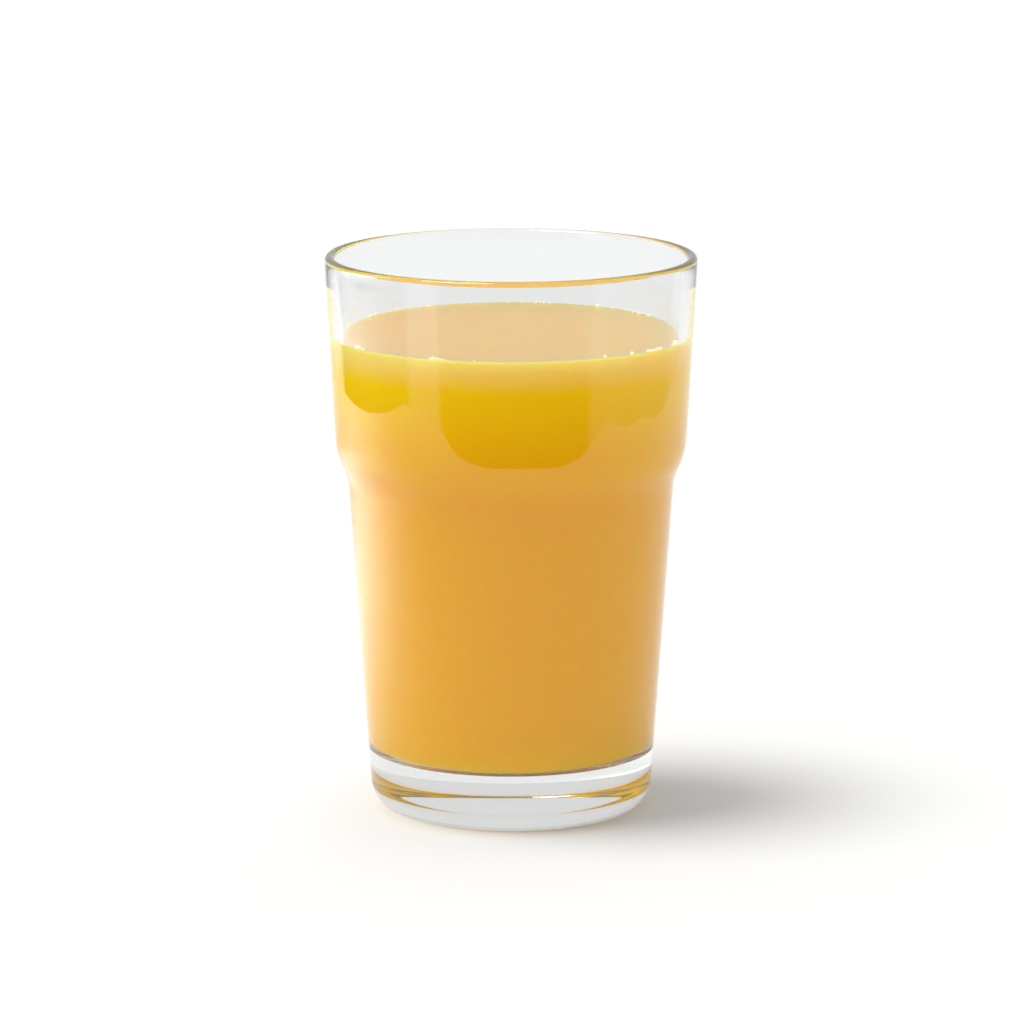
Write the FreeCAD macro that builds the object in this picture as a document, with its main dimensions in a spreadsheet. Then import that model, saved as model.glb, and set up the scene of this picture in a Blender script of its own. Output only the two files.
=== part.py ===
"""A tumbler of orange juice: a stacking glass with a shoulder, and the juice that stands in it.

Frame: the origin is the centre of the foot on the ground, +Z is up along the glass's axis. Lengths are in mm.
The glass is one wall turned about its axis. The juice is turned from the same inner face, so it follows the cavity.
"""
import FreeCAD, Part
import math
import os
import Sketcher
from FreeCAD import Vector

# Driving dimensions: alias, millimetres, what it measures.
DIMENSIONS = [
    ("overallHeight", 120.0, "ground to the top of the lip"),
    ("rimDiameter", 79.2, "across the outside of the lip"),
    ("bandDiameter", 74.9, "across the upper band where the shoulder starts"),
    ("waistDiameter", 69.2, "across the glass just below the shoulder"),
    ("heelDiameter", 60.2, "across the glass just above the rounded heel"),
    ("shoulderHeight", 74.9, "ground to the middle of the shoulder"),
    ("hollowRadius", 13.0, "curve under the shoulder, on the outside"),
    ("roundRadius", 15.0, "curve over the shoulder, on the outside"),
    ("heelRadius", 6.8, "rounded heel between the wall and the foot"),
    ("wallThickness", 3.4, "glass wall up to the shoulder, square to its face"),
    ("lipThickness", 2.2, "fully rounded lip, to which the wall thins above the shoulder"),
    ("baseThickness", 12.5, "ground to the floor of the cavity"),
    ("cornerRadius", 6.0, "curve between the cavity's wall and its floor"),
    ("footRingWidth", 2.6, "flat ring that the glass stands on"),
    ("recessDepth", 2.9, "rise of the flat recess under the base"),
    ("recessRadius", 6.0, "curve between the foot ring and the flat of the recess"),
    ("headspace", 17.2, "juice surface to the top of the lip"),
]
ORIGIN_POINT = (-1, 1)
GROUND_LINE = -1
AXIS_LINE = -2
START, END, CENTRE = 1, 2, 3


def makeSheet(document):
    """Writes the driving dimensions into a spreadsheet, one alias to a row."""
    sheet = document.addObject("Spreadsheet::Sheet", "Sizes")
    for row, (alias, value, meaning) in enumerate(DIMENSIONS, start=1):
        sheet.set(f"A{row}", alias)
        sheet.set(f"B{row}", str(value))
        sheet.setAlias(f"B{row}", alias)
        sheet.set(f"C{row}", meaning)
    document.recompute()
    return sheet


def makeSectionSketch(body, name):
    """Adds a sketch on the body's own XZ plane, so that sketch Y is up and its V axis is the glass's axis."""
    sketch = body.newObject("Sketcher::SketchObject", name)
    plane = next(item for item in body.Origin.OriginFeatures if item.Role == "XZ_Plane")
    sketch.AttachmentSupport = (plane, [""])
    sketch.MapMode = "FlatFace"
    return sketch


def addLine(sketch, start, end, construction=False):
    """Adds a straight edge between two (radius, height) points."""
    return sketch.addGeometry(Part.LineSegment(Vector(*start, 0), Vector(*end, 0)), construction)


def addArc(sketch, centre, radius, startDegrees, endDegrees, construction=False):
    """Adds an arc that runs anticlockwise from one angle to the other."""
    circle = Part.Circle(Vector(*centre, 0), Vector(0, 0, 1), radius)
    arc = Part.ArcOfCircle(circle, math.radians(startDegrees), math.radians(endDegrees))
    return sketch.addGeometry(arc, construction)


def constrain(sketch, kind, *where):
    """Adds a geometric constraint."""
    sketch.addConstraint(Sketcher.Constraint(kind, *where))


def bindSize(sketch, kind, where, name, formula):
    """Adds a size to the sketch and ties it to the spreadsheet."""
    if kind == "Radius":
        present = sketch.Geometry[where[0]].Radius
    else:
        first = sketch.getPoint(where[0], where[1])
        second = sketch.getPoint(where[2], where[3])
        present = second.x - first.x if kind == "DistanceX" else second.y - first.y
    index = sketch.addConstraint(Sketcher.Constraint(kind, *where, present))
    sketch.renameConstraint(index, name)
    sketch.setExpression(".Constraints." + name, formula)


def bindRadius(sketch, edge, point, name, formula):
    """Sets how far a point stands out from the axis."""
    bindSize(sketch, "DistanceX", (*ORIGIN_POINT, edge, point), name, formula)


def bindHeight(sketch, edge, point, name, formula):
    """Sets how high a point stands above the ground."""
    bindSize(sketch, "DistanceY", (*ORIGIN_POINT, edge, point), name, formula)


def addOuterFace(sketch, sheet, construction):
    """Draws the outside of the glass from the ground to the top of the lip.

    Rounded heel, lower taper, hollow curve, round curve, upper taper, rounded lip, each tangent to the next.
    Returns the edges by name.
    """
    waist, band = sheet.waistDiameter / 2, sheet.bandDiameter / 2
    heel, rim = sheet.heelDiameter / 2, sheet.rimDiameter / 2
    hollow, rounded, bead = sheet.hollowRadius, sheet.roundRadius, sheet.lipThickness / 2
    # The two curves of the shoulder meet where each has turned through the same angle.
    turn = math.acos(1 - (band - waist) / (hollow + rounded))
    waistHeight = sheet.shoulderHeight - hollow * math.sin(turn)
    bandHeight = sheet.shoulderHeight + rounded * math.sin(turn)
    turnDegrees = math.degrees(turn)
    beadHeight = sheet.overallHeight - bead

    edges = {}
    edges["heel"] = addArc(
        sketch, (heel - sheet.heelRadius, sheet.heelRadius), sheet.heelRadius, -90, -4, construction
    )
    edges["lower"] = addLine(sketch, (heel, sheet.heelRadius), (waist, waistHeight), construction)
    edges["hollow"] = addArc(
        sketch, (waist + hollow, waistHeight), hollow, 180 - turnDegrees, 180, construction
    )
    edges["round"] = addArc(sketch, (band - rounded, bandHeight), rounded, -turnDegrees, 0, construction)
    edges["upper"] = addLine(sketch, (band, bandHeight), (rim, beadHeight), construction)
    edges["lip"] = addArc(sketch, (rim - bead, beadHeight), bead, -3, 160, construction)

    constrain(sketch, "Tangent", edges["heel"], END, edges["lower"], START)
    constrain(sketch, "Tangent", edges["lower"], END, edges["hollow"], END)
    constrain(sketch, "Tangent", edges["hollow"], START, edges["round"], START)
    constrain(sketch, "Tangent", edges["round"], END, edges["upper"], START)
    constrain(sketch, "Tangent", edges["upper"], END, edges["lip"], START)
    constrain(sketch, "PointOnObject", edges["heel"], START, GROUND_LINE)
    constrain(sketch, "Vertical", edges["heel"], START, edges["heel"], CENTRE)

    bindSize(sketch, "Radius", (edges["heel"],), "heelCurve", "Sizes.heelRadius")
    bindSize(sketch, "Radius", (edges["hollow"],), "hollowCurve", "Sizes.hollowRadius")
    bindSize(sketch, "Radius", (edges["round"],), "roundCurve", "Sizes.roundRadius")
    bindSize(sketch, "Radius", (edges["lip"],), "lipCurve", "Sizes.lipThickness / 2")
    bindRadius(sketch, edges["lower"], START, "heelOut", "Sizes.heelDiameter / 2")
    bindRadius(sketch, edges["lower"], END, "waistOut", "Sizes.waistDiameter / 2")
    bindRadius(sketch, edges["upper"], START, "bandOut", "Sizes.bandDiameter / 2")
    bindRadius(sketch, edges["lip"], CENTRE, "lipOut", "(Sizes.rimDiameter - Sizes.lipThickness) / 2")
    bindHeight(sketch, edges["hollow"], START, "shoulderUp", "Sizes.shoulderHeight")
    bindHeight(sketch, edges["lip"], CENTRE, "lipUp", "Sizes.overallHeight - Sizes.lipThickness / 2")
    return edges


def addInnerFace(sketch, sheet, outer):
    """Draws the inside of the glass from the axis on the cavity's floor up to the inside of the lip.

    Floor, corner curve, lower taper and shoulder curves stand one wall thickness in from the outside. The upper
    taper touches the shoulder curve below and the rounded lip above, so the wall thins towards the lip.
    Returns the edges by name.
    """
    wall, corner, floor = sheet.wallThickness, sheet.cornerRadius, sheet.baseThickness
    lowerOuter, lip = sketch.Geometry[outer["lower"]], sketch.Geometry[outer["lip"]]
    hollowOuter, roundOuter = sketch.Geometry[outer["hollow"]], sketch.Geometry[outer["round"]]
    slope = (lowerOuter.EndPoint - lowerOuter.StartPoint).normalize()
    waist = lowerOuter.EndPoint + Vector(-slope.y, slope.x, 0) * wall
    cornerTop = waist - slope * ((waist.y - floor - corner) / slope.y)
    turn = math.degrees(math.atan2(slope.y, slope.x)) - 90
    # The line that touches both circles, one on its inner side and one on its outer side, leans by this angle.
    way = lip.Center - roundOuter.Center
    lean = math.acos((roundOuter.Radius - wall + lip.Radius) / way.Length) - math.atan2(way.y, way.x)
    outward = Vector(math.cos(lean), -math.sin(lean), 0)
    band = roundOuter.Center + outward * (roundOuter.Radius - wall)
    top = lip.Center - outward * lip.Radius

    edges = {}
    edges["floor"] = addLine(sketch, (0, floor), (cornerTop.x - corner, floor))
    edges["corner"] = addArc(sketch, (cornerTop.x - corner, floor + corner), corner, -90, turn)
    edges["lower"] = addLine(sketch, (cornerTop.x, cornerTop.y), (waist.x, waist.y))
    edges["hollow"] = addArc(
        sketch,
        (hollowOuter.Center.x, hollowOuter.Center.y),
        hollowOuter.Radius + wall,
        math.degrees(hollowOuter.FirstParameter),
        math.degrees(hollowOuter.LastParameter),
    )
    edges["round"] = addArc(
        sketch,
        (roundOuter.Center.x, roundOuter.Center.y),
        roundOuter.Radius - wall,
        math.degrees(roundOuter.FirstParameter),
        -math.degrees(lean),
    )
    edges["upper"] = addLine(sketch, (band.x, band.y), (top.x, top.y))

    constrain(sketch, "PointOnObject", edges["floor"], START, AXIS_LINE)
    constrain(sketch, "Horizontal", edges["floor"])
    constrain(sketch, "Tangent", edges["floor"], END, edges["corner"], START)
    constrain(sketch, "Tangent", edges["corner"], END, edges["lower"], START)
    constrain(sketch, "Tangent", edges["lower"], END, edges["hollow"], END)
    constrain(sketch, "Tangent", edges["hollow"], START, edges["round"], START)
    constrain(sketch, "Tangent", edges["round"], END, edges["upper"], START)
    constrain(sketch, "Coincident", edges["hollow"], CENTRE, outer["hollow"], CENTRE)
    constrain(sketch, "Coincident", edges["round"], CENTRE, outer["round"], CENTRE)
    constrain(sketch, "Parallel", edges["lower"], outer["lower"])

    bindSize(sketch, "Radius", (edges["corner"],), "cornerCurve", "Sizes.cornerRadius")
    bindSize(
        sketch, "Radius", (edges["hollow"],), "innerHollowCurve", "Sizes.hollowRadius + Sizes.wallThickness"
    )
    bindHeight(sketch, edges["floor"], START, "floorUp", "Sizes.baseThickness")
    return edges


def addAxisEdge(sketch, low, high, lowEdge, lowPoint, highEdge, highPoint):
    """Closes a section along the axis, from its lowest point there to its highest."""
    edge = addLine(sketch, (0, low), (0, high))
    constrain(sketch, "Coincident", edge, START, lowEdge, lowPoint)
    constrain(sketch, "Coincident", edge, END, highEdge, highPoint)
    return edge


def turnAboutAxis(body, sketch, name):
    """Turns a closed section once round the glass's axis."""
    turned = body.newObject("PartDesign::Revolution", name)
    turned.Profile = sketch
    turned.ReferenceAxis = (sketch, ["V_Axis"])
    turned.Angle = 360.0
    return turned


def makeGlass(document, sheet):
    """The tumbler: one wall with a thick base, a recess under the foot, a shoulder and a thin rounded lip."""
    body = document.addObject("PartDesign::Body", "glass")
    body.Label = "glass"
    sketch = makeSectionSketch(body, "glassSection")
    outer = addOuterFace(sketch, sheet, False)
    inner = addInnerFace(sketch, sheet, outer)
    constrain(sketch, "Tangent", inner["upper"], END, outer["lip"], END)

    # The foot: a flat ring, and a flat recess inside it with a rounded side that runs level into the flat.
    heelFoot = sketch.getPoint(outer["heel"], START).x
    recessEdge = heelFoot - sheet.footRingWidth
    depth, curve = sheet.recessDepth, sheet.recessRadius
    sideDegrees = math.degrees(math.asin((curve - depth) / curve))
    flatEdge = recessEdge - curve * math.cos(math.radians(sideDegrees))
    ring = addLine(sketch, (recessEdge, 0), (heelFoot, 0))
    side = addArc(sketch, (flatEdge, depth - curve), curve, sideDegrees, 90)
    flat = addLine(sketch, (0, depth), (flatEdge, depth))
    constrain(sketch, "Coincident", ring, END, outer["heel"], START)
    constrain(sketch, "Horizontal", ring)
    constrain(sketch, "Coincident", ring, START, side, START)
    constrain(sketch, "Tangent", side, END, flat, END)
    constrain(sketch, "Horizontal", flat)
    constrain(sketch, "PointOnObject", flat, START, AXIS_LINE)
    bindSize(sketch, "DistanceX", (ring, START, ring, END), "ringAcross", "Sizes.footRingWidth")
    bindSize(sketch, "Radius", (side,), "recessCurve", "Sizes.recessRadius")
    bindHeight(sketch, flat, START, "recessUp", "Sizes.recessDepth")
    addAxisEdge(sketch, depth, sheet.baseThickness, flat, START, inner["floor"], START)
    turnAboutAxis(body, sketch, "glassTurned")
    return body


def makeJuice(document, sheet):
    """The juice: the cavity's own shape, up to its flat surface below the lip."""
    body = document.addObject("PartDesign::Body", "juice")
    body.Label = "juice"
    sketch = makeSectionSketch(body, "juiceSection")
    outer = addOuterFace(sketch, sheet, True)
    inner = addInnerFace(sketch, sheet, outer)
    level = sheet.overallHeight - sheet.headspace
    foot, top = sketch.getPoint(inner["upper"], START), sketch.getPoint(inner["upper"], END)
    contact = foot.x + (top.x - foot.x) * (level - foot.y) / (top.y - foot.y)

    # The whole inner line stays as a guide that touches the lip. The juice takes it only up to the surface.
    sketch.setConstruction(inner["upper"], True)
    constrain(sketch, "Tangent", inner["upper"], END, outer["lip"], END)
    wet = addLine(sketch, (foot.x, foot.y), (contact, level))
    surface = addLine(sketch, (contact, level), (0, level))
    constrain(sketch, "Coincident", wet, START, inner["upper"], START)
    constrain(sketch, "PointOnObject", wet, END, inner["upper"])
    constrain(sketch, "Coincident", surface, START, wet, END)
    constrain(sketch, "Horizontal", surface)
    constrain(sketch, "PointOnObject", surface, END, AXIS_LINE)
    bindHeight(sketch, surface, END, "levelUp", "Sizes.overallHeight - Sizes.headspace")
    addAxisEdge(sketch, sheet.baseThickness, level, inner["floor"], START, surface, END)
    turnAboutAxis(body, sketch, "juiceTurned")
    return body


def checkDocument(document, bodies):
    """Stops the build if any object failed, a sketch is loose, or a body isn't one sound solid."""
    for item in document.Objects:
        if "Invalid" in item.State or "Error" in item.State:
            raise RuntimeError(f"{item.Label} did not build: {item.State}")
        if item.isDerivedFrom("Sketcher::SketchObject") and item.solve() != 0:
            raise RuntimeError(f"{item.Label} does not solve")
    for body in bodies:
        shape = body.Shape
        if shape.isNull() or not shape.isValid() or len(shape.Solids) != 1 or shape.Volume <= 0:
            raise RuntimeError(f"{body.Label} is not one sound solid")


def main():
    document = FreeCAD.newDocument("JuiceGlass")
    sheet = makeSheet(document)
    bodies = [makeGlass(document, sheet), makeJuice(document, sheet)]
    document.recompute()
    checkDocument(document, bodies)
    os.makedirs("parts", exist_ok=True)
    for body in bodies:
        body.Shape.exportStep(f"parts/{body.Label}.step")
        box = body.Shape.optimalBoundingBox()
        print(body.Label, round(body.Shape.Volume / 1000, 2), "ml, top", round(box.ZMax, 3))


main()
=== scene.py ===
import math

import bpy
import numpy as np
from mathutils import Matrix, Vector


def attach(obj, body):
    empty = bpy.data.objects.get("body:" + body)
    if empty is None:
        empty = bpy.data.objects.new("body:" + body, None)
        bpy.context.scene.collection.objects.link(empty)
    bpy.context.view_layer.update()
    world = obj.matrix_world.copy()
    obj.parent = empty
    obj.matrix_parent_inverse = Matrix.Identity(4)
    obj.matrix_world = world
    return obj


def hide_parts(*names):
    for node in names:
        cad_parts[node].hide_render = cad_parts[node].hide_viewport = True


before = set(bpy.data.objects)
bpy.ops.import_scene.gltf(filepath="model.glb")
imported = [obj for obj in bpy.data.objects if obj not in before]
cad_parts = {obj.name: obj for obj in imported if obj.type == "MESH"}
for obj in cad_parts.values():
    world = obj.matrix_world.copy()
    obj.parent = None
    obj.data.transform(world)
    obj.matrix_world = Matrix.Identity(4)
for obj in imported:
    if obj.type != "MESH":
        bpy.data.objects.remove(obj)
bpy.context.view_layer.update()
mm = 0.001  # the dictionaries below give lengths in millimetres, and the meshes are in metres


# points along an arc: centre plus radius times (cos, sin) of an evenly stepped angle
def arcPoints(centre, radius, startDegrees, endDegrees, count):
    angle = np.radians(np.linspace(startDegrees, endDegrees, count))
    return np.stack([centre[0] + radius * np.cos(angle), centre[1] + radius * np.sin(angle)], axis=1)


# points along a line: (1 - t) times the start plus t times the end, t even from 0 to 1
def linePoints(start, end, count):
    t = np.linspace(0.0, 1.0, count)[:, None]
    return np.asarray(start) * (1 - t) + np.asarray(end) * t


# one outline from runs that share their end points
def joinPoints(runs):
    return np.concatenate([runs[0]] + [run[1:] for run in runs[1:]])


# a profile of (radius, height) carried round the axis: (r cos a, r sin a, z), a even from 0 to a full turn
def turnedGrid(profile, columns):
    angle = np.linspace(0, 2 * math.pi, columns, endpoint=False)
    radius, height = profile[:, :1], profile[:, 1:]
    return np.stack([
        radius * np.cos(angle),
        radius * np.sin(angle),
        np.broadcast_to(height, (len(profile), columns)),
    ], axis=-1)


# quads between neighbouring rows and columns of closed rings, and a fan to one point on the axis at each end
def closedRings(points):
    rows, columns = points.shape[:2]
    around = np.arange(columns)
    after = (around + 1) % columns
    row = np.arange(rows - 1)[:, None] * columns
    quads = np.stack([row + around, row + after, row + columns + after, row + columns + around], axis=-1)
    count = rows * columns
    last = count - columns
    lowFan = np.stack([np.full_like(around, count), after, around], axis=-1)
    highFan = np.stack([last + around, last + after, np.full_like(around, count + 1)], axis=-1)
    vertices = np.concatenate([points.reshape(-1, 3), points[:1].mean(axis=1), points[-1:].mean(axis=1)])
    return vertices, quads.reshape(-1, 4), np.concatenate([lowFan, highFan])


def meshPiece(name, vertices, faceGroups):
    mesh = bpy.data.meshes.new(name)
    mesh.from_pydata(vertices.tolist(), [], [face for group in faceGroups for face in group.tolist()])
    mesh.shade_smooth()
    mesh.update()
    piece = bpy.data.objects.new(name, mesh)
    bpy.context.scene.collection.objects.link(piece)
    return piece


tumblerSizes = {
    "height": 120.0, "rim": 79.2, "band": 74.9, "waist": 69.2, "heel": 60.2,  # outside diameters
    "shoulderHeight": 74.9, "hollowRadius": 13.0, "roundRadius": 15.0, "heelRadius": 6.8,
    "wall": 3.4, "lip": 2.2, "base": 12.5, "corner": 6.0,
    "footRing": 2.6, "recessDepth": 2.9, "recessRadius": 6.0,
    "columns": 320,
}


# where the outline's arcs have their centres, and the angles at which arcs and tapers run into each other
def tangentChain(size):
    waist, band = size["waist"] / 2, size["band"] / 2
    heel, rim = size["heel"] / 2, size["rim"] / 2
    bead = size["lip"] / 2
    hollow, rounded = size["hollowRadius"], size["roundRadius"]
    lowTaper = highTaper = 0.07
    for _ in range(40):  # each turn brings tapers and tangent points closer to agreeing
        hollowOut = waist + hollow * math.cos(lowTaper)
        roundOut = band - rounded * math.cos(highTaper)
        turn = math.acos((hollowOut - roundOut) / (hollow + rounded))
        hollowUp = size["shoulderHeight"] - hollow * math.sin(turn)
        roundUp = size["shoulderHeight"] + rounded * math.sin(turn)
        waistUp = hollowUp + hollow * math.sin(lowTaper)
        bandUp = roundUp - rounded * math.sin(highTaper)
        heelUp = size["heelRadius"] * (1 - math.sin(lowTaper))
        lipUp = size["height"] - bead * (1 + math.sin(highTaper))
        lipOut = rim - bead + bead * math.cos(highTaper)
        lowTaper = math.atan((waist - heel) / (waistUp - heelUp))
        highTaper = math.atan((lipOut - band) / (lipUp - bandUp))
    # the inner line above the shoulder touches both the rounded shoulder and the lip's bead
    way = (rim - bead - roundOut, size["height"] - bead - roundUp)
    innerTaper = math.acos((rounded - size["wall"] + bead) / math.hypot(*way)) - math.atan2(way[1], way[0])
    return {
        "low": lowTaper, "high": highTaper, "turn": turn, "inner": innerTaper,
        "hollowAt": (hollowOut, hollowUp), "roundAt": (roundOut, roundUp),
        "heelAt": (heel - size["heelRadius"] * math.cos(lowTaper), size["heelRadius"]),
        "lipAt": (rim - bead, size["height"] - bead),
        "waist": (waist, waistUp), "band": (band, bandUp),
        "heelTop": (heel, heelUp), "lipFoot": (lipOut, lipUp),
    }


# the cavity from its floor at the axis to the lip, moved square to itself into the glass by inset
def cavityRuns(size, chain, inset):
    wall, floor, corner = size["wall"] - inset, size["base"] - inset, size["corner"] + inset
    slope = np.array([math.sin(chain["low"]), math.cos(chain["low"])])
    waist = np.array(chain["waist"]) + np.array([-slope[1], slope[0]]) * wall
    cornerTopUp = floor + corner * (1 - math.sin(chain["low"]))
    cornerTop = waist - slope * (waist[1] - cornerTopUp) / slope[1]
    cornerAt = (cornerTop[0] - corner * math.cos(chain["low"]), floor + corner)
    outward = np.array([math.cos(chain["inner"]), -math.sin(chain["inner"])])
    band = np.array(chain["roundAt"]) + outward * (size["roundRadius"] - wall)
    lipFoot = np.array(chain["lipAt"]) - outward * (size["lip"] / 2 - inset)
    low, turn, inner = (math.degrees(chain[key]) for key in ("low", "turn", "inner"))
    return [
        linePoints((0.4, floor), (cornerAt[0], floor), 24),
        arcPoints(cornerAt, corner, -90, -low, 24),
        linePoints(cornerTop, waist, 24),
        arcPoints(chain["hollowAt"], size["hollowRadius"] + wall, 180 - low, 180 - turn, 18),
        arcPoints(chain["roundAt"], size["roundRadius"] - wall, -turn, -inner, 18),
        linePoints(band, lipFoot, 30),
    ]


# the whole section of the wall: recess, foot ring, heel, outside, lip, and back down the inside to the axis
def tumblerOutline(size, chain):
    low, high, turn, inner = (math.degrees(chain[key]) for key in ("low", "high", "turn", "inner"))
    depth, curve = size["recessDepth"], size["recessRadius"]
    ringInside = chain["heelAt"][0] - size["footRing"]
    side = math.asin((curve - depth) / curve)
    flatEdge = ringInside - curve * math.cos(side)
    outside = [
        linePoints((0.4, depth), (flatEdge, depth), 16),
        arcPoints((flatEdge, depth - curve), curve, 90, math.degrees(side), 20),
        linePoints((ringInside, 0), (chain["heelAt"][0], 0), 5),
        arcPoints(chain["heelAt"], size["heelRadius"], -90, -low, 28),
        linePoints(chain["heelTop"], chain["waist"], 24),
        arcPoints(chain["hollowAt"], size["hollowRadius"], 180 - low, 180 - turn, 18),
        arcPoints(chain["roundAt"], size["roundRadius"], -turn, -high, 18),
        linePoints(chain["band"], chain["lipFoot"], 20),
        arcPoints(chain["lipAt"], size["lip"] / 2, -high, 180 - inner, 36),
    ]
    inside = joinPoints(cavityRuns(size, chain, 0.0))[::-1]
    return np.concatenate([joinPoints(outside), inside[1:]])


chain = tangentChain(tumblerSizes)
tumblerRings = turnedGrid(tumblerOutline(tumblerSizes, chain) * mm, tumblerSizes["columns"])
vertices, quads, fans = closedRings(tumblerRings)
tumbler = meshPiece("tumbler", vertices, (quads, fans))
print("tumbler:", len(quads) + len(fans), "faces")


juiceSizes = {
    "level": 102.8,  # the flat of the surface
    "bite": 0.12,  # how far the juice reaches into the wall, so that no air shows between them
    "meniscus": 0.15, "capillary": 1.2,  # climb at the wall, and the distance over which it falls to a third
    "columns": 256,
}


# the wetted wall up to the contact line, and the surface from there to the axis
# surface height = level plus meniscus times e to the minus (distance from the wall over capillary)
def juiceRuns(size, chain, juice):
    runs = cavityRuns(size, chain, juice["bite"])
    foot, top = runs[-1][0], runs[-1][-1]
    contactUp = juice["level"] + juice["meniscus"]
    contact = foot + (top - foot) * (contactUp - foot[1]) / (top[1] - foot[1])
    wetWall = joinPoints(runs[:-1] + [linePoints(foot, contact, 30)])
    distance = np.concatenate([np.linspace(0, 8, 40), np.linspace(8, contact[0] - 0.4, 30)[1:]])
    height = juice["level"] + juice["meniscus"] * np.exp(-distance / juice["capillary"])
    return wetWall, np.stack([contact[0] - distance, height], axis=1)


wetWall, openSurface = juiceRuns(tumblerSizes, chain, juiceSizes)
juiceRings = turnedGrid(np.concatenate([wetWall, openSurface[1:]]) * mm, juiceSizes["columns"])
vertices, quads, fans = closedRings(juiceRings)
juice = meshPiece("orange_juice", vertices, (quads, fans))
# slot 0 is the juice against the glass, slot 1 its open surface
slots = (np.arange(len(quads) + len(fans)) // juiceSizes["columns"] >= len(wetWall) - 1).astype(np.int32)
slots[len(quads):len(quads) + juiceSizes["columns"]] = 0
juice.data.polygons.foreach_set("material_index", slots)
print("juice:", len(slots), "faces")


bubbleSizes = {
    # along the contact line, in degrees round the axis from the front: from, to, how many
    "strings": ((-61, -56, 7), (-28, -22, 9), (-12.5, -12, 1), (32, 33, 1), (42, 44, 3), (50, 59, 12),
                (66, 72, 6), (120, 150, 9), (-150, -118, 8), (165, 200, 8)),
    "radius": (0.17, 0.4),  # smallest and largest
    "spread": 0.4,  # how far bubbles sit from the wall
    "sunk": 0.15,  # share of the radius below the surface
    "seed": 11,
}


# each bubble is centre plus radius times (sin p cos q, sin p sin q, cos p) on its own grid of p and q
def bubbleMesh(centres, radii, rows, columns):
    p = np.linspace(0, math.pi, rows + 2)[1:-1][::-1, None]
    q = np.linspace(0, 2 * math.pi, columns, endpoint=False)[None, :]
    unit = np.stack([np.sin(p) * np.cos(q), np.sin(p) * np.sin(q), np.cos(p) * np.ones_like(q)], axis=-1)
    vertices, quads, fans = closedRings(unit)
    vertices[-2:] = (0, 0, -1), (0, 0, 1)
    every = (centres[:, None] + radii[:, None, None] * vertices).reshape(-1, 3)
    first = (np.arange(len(radii)) * len(vertices))[:, None, None]
    return every, (first + quads).reshape(-1, 4), (first + fans).reshape(-1, 3)


chance = np.random.default_rng(bubbleSizes["seed"])
strings = np.array(bubbleSizes["strings"])
counts = strings[:, 2].astype(int)
azimuth = np.radians(np.repeat(strings[:, 0], counts)
                     + chance.random(counts.sum()) * np.repeat(strings[:, 1] - strings[:, 0], counts))
small, large = bubbleSizes["radius"]
radii = small + (large - small) * chance.random(len(azimuth)) ** 2
gap = radii * 0.9 + bubbleSizes["spread"] * chance.random(len(azimuth)) ** 2
fromAxis = openSurface[0, 0] - juiceSizes["bite"] - gap
up = juiceSizes["level"] + juiceSizes["meniscus"] * np.exp(-gap / juiceSizes["capillary"])
up = up + radii * (1 - 2 * bubbleSizes["sunk"])
centres = np.stack([fromAxis * np.sin(azimuth), -fromAxis * np.cos(azimuth), up], axis=1)
vertices, quads, fans = bubbleMesh(centres * mm, radii * mm, 9, 16)
bubbles = meshPiece("juice_bubbles", vertices, (quads, fans))
print("bubbles:", len(radii), "in one piece,", len(quads) + len(fans), "faces")


# an sRGB hex colour as linear red, green, blue and full alpha
def linear(code):
    parts = [int(code[i:i + 2], 16) / 255 for i in (1, 3, 5)]
    return tuple(v / 12.92 if v <= 0.04045 else ((v + 0.055) / 1.055) ** 2.4 for v in parts) + (1.0,)


def newMaterial(name):
    material = bpy.data.materials.new(name)
    material.use_nodes = True
    material.node_tree.nodes.clear()
    return material, material.node_tree


# adds a node with its settings (attributes by name, sockets by name or number) and links from (node, output)
def addNode(tree, kind, settings=None, links=None):
    node = tree.nodes.new(kind)
    for key, value in (settings or {}).items():
        if isinstance(key, str) and hasattr(node, key):
            setattr(node, key, value)
        else:
            node.inputs[key].default_value = value
    for key, (source, output) in (links or {}).items():
        tree.links.new(source.outputs[output], node.inputs[key])
    return node


glassIndex, juiceIndex = 1.52, 1.35  # how much soda-lime glass and orange juice bend light

glassLook = {
    "wallTint": "#F4F5F5", "baseTint": "#E7EAEA", "baseFade": 4.0,  # the tint fades out over this
    "uneven": 14.0, "unevenDepth": 0.05, "unevenShare": 0.35,
    "wear": 5.0, "roughness": 0.02,  # the most that handling has dulled the polish
    "dimmed": "#F7F8F7",
}


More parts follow.
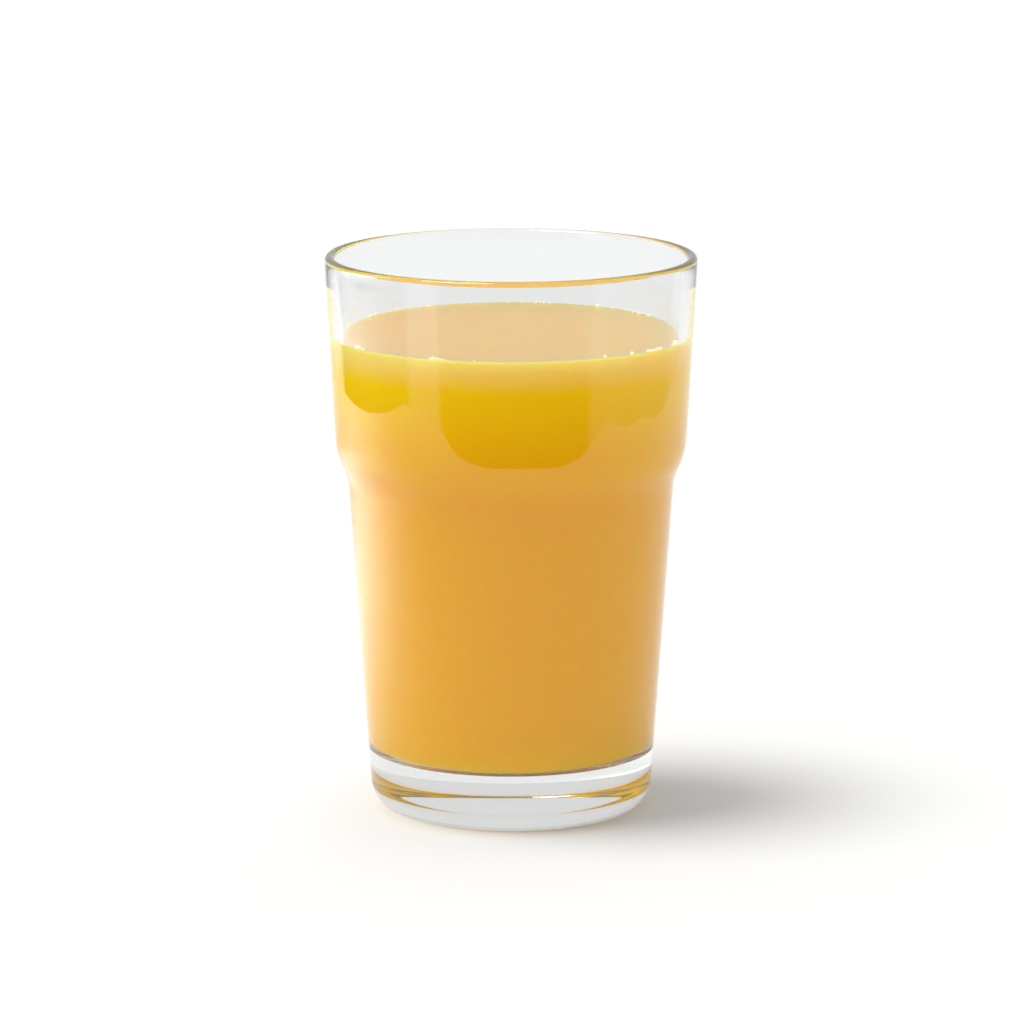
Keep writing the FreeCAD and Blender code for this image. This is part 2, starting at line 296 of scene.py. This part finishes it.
# pressed and fire-polished soda-lime glass: clear and sharp, with a very slight, slow unevenness of the mould
# the thick base takes a little more light than the walls do, so its tint is a shade greyer
# lamps and bounced light go straight through it, a little dimmed, as they do on the whole through real glass
def sodaLimeGlass(look):
    material, tree = newMaterial("sodaLimeGlass")
    place = addNode(tree, "ShaderNodeTexCoord")
    slow = addNode(tree, "ShaderNodeTexNoise", {"Scale": 1 / (look["uneven"] * mm), "Detail": 1.0}, {
        "Vector": (place, "Object"),
    })
    uneven = addNode(tree, "ShaderNodeBump", {
        "Strength": look["unevenShare"], "Distance": look["unevenDepth"] * mm,
    }, {"Height": (slow, 0)})
    wear = addNode(tree, "ShaderNodeTexNoise", {"Scale": 1 / (look["wear"] * mm), "Detail": 4.0}, {
        "Vector": (place, "Object"),
    })
    polish = addNode(tree, "ShaderNodeMapRange", {
        "From Min": 0.45, "From Max": 0.75, "To Min": 0.0, "To Max": look["roughness"],
    }, {"Value": (wear, 0)})
    split = addNode(tree, "ShaderNodeSeparateXYZ", None, {0: (place, "Object")})
    thick = addNode(tree, "ShaderNodeMapRange", {
        "interpolation_type": "SMOOTHSTEP", "From Min": tumblerSizes["base"] * mm,
        "From Max": (tumblerSizes["base"] + look["baseFade"]) * mm, "To Min": 1.0, "To Max": 0.0,
    }, {"Value": (split, "Z")})
    tint = addNode(tree, "ShaderNodeMix", {
        "data_type": "RGBA", 6: linear(look["wallTint"]), 7: linear(look["baseTint"]),
    }, {0: (thick, 0)})
    body = addNode(tree, "ShaderNodeBsdfPrincipled", {"IOR": glassIndex, "Transmission Weight": 1.0}, {
        "Base Color": (tint, 2), "Roughness": (polish, 0), "Normal": (uneven, 0),
    })
    clear = addNode(tree, "ShaderNodeBsdfTransparent", {"Color": linear(look["dimmed"])})
    path = addNode(tree, "ShaderNodeLightPath")
    through = addNode(tree, "ShaderNodeMath", {"operation": "MAXIMUM"}, {
        0: (path, "Is Shadow Ray"), 1: (path, "Is Diffuse Ray"),
    })
    mix = addNode(tree, "ShaderNodeMixShader", None, {0: (through, 0), 1: (body, 0), 2: (clear, 0)})
    addNode(tree, "ShaderNodeOutputMaterial", None, {"Surface": (mix, 0)})
    return material


juiceLook = {
    "deep": "#F0B504", "yellow": "#FBD708", "yellowDepth": 30.0, "paleLitTop": "#FBDF86", "paleLitDepth": 6.8,
    "pulp": 1.6, "pulpShare": 0.1, "mottle": "#FFCE40",
    "spread": (1.0, 0.15, 0.015), "scatter": 34.0,  # red, green and blue light soak in by these shares of it
    "surface": "#F3BD48", "surfaceFilm": "#F4C65C", "film": 6.0, "surfaceRoughness": 0.08,
}


# strained orange juice: cloudy, so light soaks in by millimetres, and fine pulp mottles it slightly
# its colour is set by depth: yellower towards the top, and paler just under the open surface as painted light
# for the light it lets in
# against the glass it has no gloss of its own
def orangeJuice(look):
    material, tree = newMaterial("orangeJuice")
    place = addNode(tree, "ShaderNodeTexCoord")
    split = addNode(tree, "ShaderNodeSeparateXYZ", None, {0: (place, "Object")})
    top = juiceSizes["level"] * mm
    below = addNode(tree, "ShaderNodeMapRange", {
        "interpolation_type": "SMOOTHSTEP",
        "From Min": top - look["yellowDepth"] * mm, "From Max": top - 3 * mm,
    }, {"Value": (split, "Z")})
    # painted light: a paler colour over the top few millimetres stands in for the light that the open surface
    # lets in
    paleLitShare = addNode(tree, "ShaderNodeMapRange", {"From Min": top - look["paleLitDepth"] * mm, "From Max": top}, {
        "Value": (split, "Z"),
    })
    yellow = addNode(tree, "ShaderNodeMix", {
        "data_type": "RGBA", 6: linear(look["deep"]), 7: linear(look["yellow"]),
    }, {0: (below, 0)})
    body = addNode(tree, "ShaderNodeMix", {"data_type": "RGBA", 7: linear(look["paleLitTop"])}, {
        0: (paleLitShare, 0), 6: (yellow, 2),
    })
    pulp = addNode(tree, "ShaderNodeTexNoise", {
        "Scale": 1 / (look["pulp"] * mm), "Detail": 3.0, "Roughness": 0.6,
    }, {"Vector": (place, "Object")})
    share = addNode(tree, "ShaderNodeMapRange", {
        "From Min": 0.4, "From Max": 0.7, "To Max": look["pulpShare"],
    }, {"Value": (pulp, 0)})
    mottled = addNode(tree, "ShaderNodeMix", {"data_type": "RGBA", 7: linear(look["mottle"])}, {
        0: (share, 0), 6: (body, 2),
    })
    soft = addNode(tree, "ShaderNodeBsdfPrincipled", {
        "Roughness": 0.5, "IOR": juiceIndex, "Specular IOR Level": 0.0,
        "Subsurface Weight": 1.0, "Subsurface Radius": look["spread"],
        "Subsurface Scale": look["scatter"] * mm,
    }, {"Base Color": (mottled, 2)})
    # the wall mirrors the light that meets the juice at more than 63 degrees, because glass bends light more
    mirror = addNode(tree, "ShaderNodeBsdfGlossy", {"Roughness": 0.0})
    grazing = addNode(tree, "ShaderNodeFresnel", {"IOR": juiceIndex / glassIndex})
    mix = addNode(tree, "ShaderNodeMixShader", None, {0: (grazing, 0), 1: (soft, 0), 2: (mirror, 0)})
    addNode(tree, "ShaderNodeOutputMaterial", None, {"Surface": (mix, 0)})
    return material


# the open surface: the same juice, wet and glossy, with a faint film of pulp that breaks the gloss a little
def juiceSurface(look):
    material, tree = newMaterial("orangeJuiceSurface")
    place = addNode(tree, "ShaderNodeTexCoord")
    film = addNode(tree, "ShaderNodeTexNoise", {
        "Scale": 1 / (look["film"] * mm), "Detail": 5.0, "Roughness": 0.6, "Distortion": 0.6,
    }, {"Vector": (place, "Object")})
    colour = addNode(tree, "ShaderNodeMix", {
        "data_type": "RGBA", 6: linear(look["surface"]), 7: linear(look["surfaceFilm"]),
    }, {0: (film, 0)})
    gloss = addNode(tree, "ShaderNodeMapRange", {
        "From Min": 0.3, "From Max": 0.7,
        "To Min": look["surfaceRoughness"], "To Max": look["surfaceRoughness"] * 1.6,
    }, {"Value": (film, 0)})
    wet = addNode(tree, "ShaderNodeBsdfPrincipled", {
        "IOR": juiceIndex, "Subsurface Weight": 1.0, "Subsurface Radius": look["spread"],
        "Subsurface Scale": look["scatter"] * mm,
    }, {"Base Color": (colour, 2), "Roughness": (gloss, 0)})
    addNode(tree, "ShaderNodeOutputMaterial", None, {"Surface": (wet, 0)})
    return material


bubbleLook = {
    "white": "#FFF8E6", "skin": "#FBE3A4", "skinSize": 0.4, "roughness": 0.12,
    "glow": "#FFF6E2", "glowStrength": 0.4,
}


# small air bubbles in a skin of juice: wet and nearly white
# real ones glint with the light they gather, and here a faint glow of their own stands in for it
def juiceBubble(look):
    material, tree = newMaterial("juiceBubble")
    place = addNode(tree, "ShaderNodeTexCoord")
    skin = addNode(tree, "ShaderNodeTexNoise", {"Scale": 1 / (look["skinSize"] * mm)}, {
        "Vector": (place, "Object"),
    })
    colour = addNode(tree, "ShaderNodeMix", {
        "data_type": "RGBA", 6: linear(look["white"]), 7: linear(look["skin"]),
    }, {0: (skin, 0)})
    body = addNode(tree, "ShaderNodeBsdfPrincipled", {
        "Roughness": look["roughness"], "IOR": juiceIndex,
        "Emission Color": linear(look["glow"]), "Emission Strength": look["glowStrength"],
    }, {"Base Color": (colour, 2)})
    addNode(tree, "ShaderNodeOutputMaterial", None, {"Surface": (body, 0)})
    return material


tumbler.data.materials.append(sodaLimeGlass(glassLook))
juice.data.materials.append(orangeJuice(juiceLook))
juice.data.materials.append(juiceSurface(juiceLook))
bubbles.data.materials.append(juiceBubble(bubbleLook))

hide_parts("glass")
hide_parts("juice")
for piece, slotName in ((tumbler, "clear_glass"), (juice, "orange_juice"), (bubbles, "orange_juice")):
    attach(piece, "root")
print("pieces finished")


stageSizes = {
    # the rounded edges at the left and the front, in metres: (centre across, centre back, radius, from, to),
    # with the angles in degrees round from the front
    "edges": ((0.226, 0.058, 0.612, -124, -72), (-0.03, 0.311, 0.595, -26, 36)),
    "right": 0.38, "back": 4.0, "backLeft": -0.29,
    "white": 0.88,
}

# the table top as one face: round the left and the front, then straight to the back
edges = []
for centreX, centreY, radius, start, stop in stageSizes["edges"]:
    turn = np.radians(np.linspace(start, stop, 40))
    across, forward = centreX + radius * np.sin(turn), centreY - radius * np.cos(turn)
    edges.append(np.stack([across, forward, 0 * turn], axis=1))
back = stageSizes["back"]
edges.append([(stageSizes["right"], 0, 0), (stageSizes["right"], back, 0), (stageSizes["backLeft"], back, 0)])
edge = np.concatenate(edges)
table = meshPiece("table", edge, (np.arange(len(edge))[None, :],))
paper, tree = newMaterial("whitePaper")  # matt white paper, faintly mottled, without gloss
place = addNode(tree, "ShaderNodeTexCoord")
fibre = addNode(tree, "ShaderNodeTexNoise", {"Scale": 60.0, "Detail": 3.0}, {"Vector": (place, "Object")})
white = stageSizes["white"]
shade = addNode(tree, "ShaderNodeMix", {
    "data_type": "RGBA",
    6: (white * 0.995, white * 0.995, white * 0.985, 1), 7: (white, white, white * 0.99, 1),
}, {0: (fibre, 0)})
matt = addNode(tree, "ShaderNodeBsdfPrincipled", {"Roughness": 0.8, "Specular IOR Level": 0.0}, {
    "Base Color": (shade, 2),
})
addNode(tree, "ShaderNodeOutputMaterial", None, {"Surface": (matt, 0)})
table.data.materials.append(paper)


studio = {
    "sun": 1.75, "sunSize": 28.0, "sunTilt": 20.0, "sunFromFront": 4.0,  # soft light from high on the left
    # a narrow lamp over the table on the left that casts no shadow, and whose bright patch the glass mirrors
    "patch": 0.43, "patchAt": (-0.245, 0.115, 0.3), "patchSize": 0.24, "patchSpread": 50.0,
    "ambient": 0.66, "backdrop": 1.0,
    # the room as the glass mirrors it, as (degrees round from the front, brightness)
    "room": ((-180, 0.88), (-158, 0.88), (-152, 1.1), (-138, 1.1), (-134, 0.0), (-71, 0.0), (-67, 0.9),
             (-49, 0.9), (-45, 0.0), (50, 0.0), (54, 0.5), (115, 0.5), (125, 0.88), (180, 0.88)),
    "behind": 0.86,  # rays that pass through the glass meet this all round, instead of that room
    "overhead": 0.35,  # brightness straight above, as a share of either
}


# turns a light so that it shines along a direction
def aim(piece, shining):
    piece.rotation_mode = "QUATERNION"
    piece.rotation_quaternion = Vector(shining).to_track_quat("-Z", "Y")
    bpy.context.scene.collection.objects.link(piece)


sun = bpy.data.lights.new("sky", "SUN")
sun.energy = studio["sun"]
sun.angle = math.radians(studio["sunSize"])
across, forward = math.radians(studio["sunTilt"]), math.radians(studio["sunFromFront"])
aim(bpy.data.objects.new("sky", sun), (math.sin(across), math.sin(forward), -math.cos(across)))

patch = bpy.data.lights.new("patch", "AREA")
patch.size = studio["patchSize"]
patch.spread = math.radians(studio["patchSpread"])
patch.energy = studio["patch"]
patch.use_shadow = False
patchPiece = bpy.data.objects.new("patch", patch)
patchPiece.location = studio["patchAt"]
patchPiece.visible_camera = patchPiece.visible_glossy = patchPiece.visible_transmission = False
aim(patchPiece, (0, 0, -1))

world = bpy.data.worlds.new("studio")
bpy.context.scene.world = world
world.use_nodes = True
tree = world.node_tree
tree.nodes.clear()
path = addNode(tree, "ShaderNodeLightPath")
where = addNode(tree, "ShaderNodeTexCoord")
split = addNode(tree, "ShaderNodeSeparateXYZ", None, {0: (where, "Generated")})
towards = addNode(tree, "ShaderNodeMath", {"operation": "MULTIPLY", 1: -1.0}, {0: (split, "Y")})
bearing = addNode(tree, "ShaderNodeMath", {"operation": "ARCTAN2"}, {0: (split, "X"), 1: (towards, 0)})
share = addNode(tree, "ShaderNodeMapRange", {"From Min": -math.pi, "From Max": math.pi}, {
    "Value": (bearing, 0),
})
ramp = addNode(tree, "ShaderNodeValToRGB", None, {0: (share, 0)})
stops = ramp.color_ramp.elements
for degrees, value in studio["room"][1:-1]:
    stops.new((degrees + 180) / 360).color = (value / 2, value / 2, value / 2, 1)
for end in (0, -1):
    value = studio["room"][end][1]
    stops[end].color = (value / 2, value / 2, value / 2, 1)
above = addNode(tree, "ShaderNodeMapRange", {
    "interpolation_type": "SMOOTHSTEP", "From Min": 0.45, "From Max": 0.85, "To Min": 2.0,
    "To Max": 2.0 * studio["overhead"],
}, {"Value": (split, "Z")})
behind = studio["behind"] / 2
shown = addNode(tree, "ShaderNodeMix", {"data_type": "RGBA", 7: (behind, behind, behind, 1)}, {
    0: (path, "Is Transmission Ray"), 6: (ramp, 0),
})
room = addNode(tree, "ShaderNodeBackground", None, {"Color": (shown, 2), "Strength": (above, 0)})
even = addNode(tree, "ShaderNodeBackground", {"Color": linear("#FBFDFF"), "Strength": studio["ambient"]})
backdrop = addNode(tree, "ShaderNodeBackground", {"Color": linear("#FFFFFF"), "Strength": studio["backdrop"]})
unseen = addNode(tree, "ShaderNodeMixShader", None, {0: (path, "Is Diffuse Ray"), 1: (room, 0), 2: (even, 0)})
seen = addNode(tree, "ShaderNodeMixShader", None, {
    0: (path, "Is Camera Ray"), 1: (unseen, 0), 2: (backdrop, 0),
})
addNode(tree, "ShaderNodeOutputWorld", None, {"Surface": (seen, 0)})

scene = bpy.context.scene
scene.view_settings.view_transform = "Standard"
scene.cycles.use_denoising = True
scene.cycles.max_bounces = 24
scene.cycles.transmission_bounces = 24
scene.cycles.glossy_bounces = 12
scene.cycles.transparent_max_bounces = 24
scene.cycles.caustics_reflective = False
scene.cycles.caustics_refractive = True
print("stage and light ready")


cameraSizes = {
    "lens": 228.21, "sensor": 36.0, "shiftAcross": 0.0009,
    "away": 1.36206, "up": 0.32356, "down": 10.7734,  # metres, metres, degrees
}

cameraData = bpy.data.cameras.new("camera")
cameraData.sensor_width = cameraSizes["sensor"]
cameraData.lens = cameraSizes["lens"]
cameraData.shift_x = cameraSizes["shiftAcross"]
cameraData.clip_start, cameraData.clip_end = 0.01, 50
camera = bpy.data.objects.new("camera", cameraData)
camera.location = (0, -cameraSizes["away"], cameraSizes["up"])
camera.rotation_euler = (math.radians(90 - cameraSizes["down"]), 0, 0)
scene.collection.objects.link(camera)
scene.camera = camera
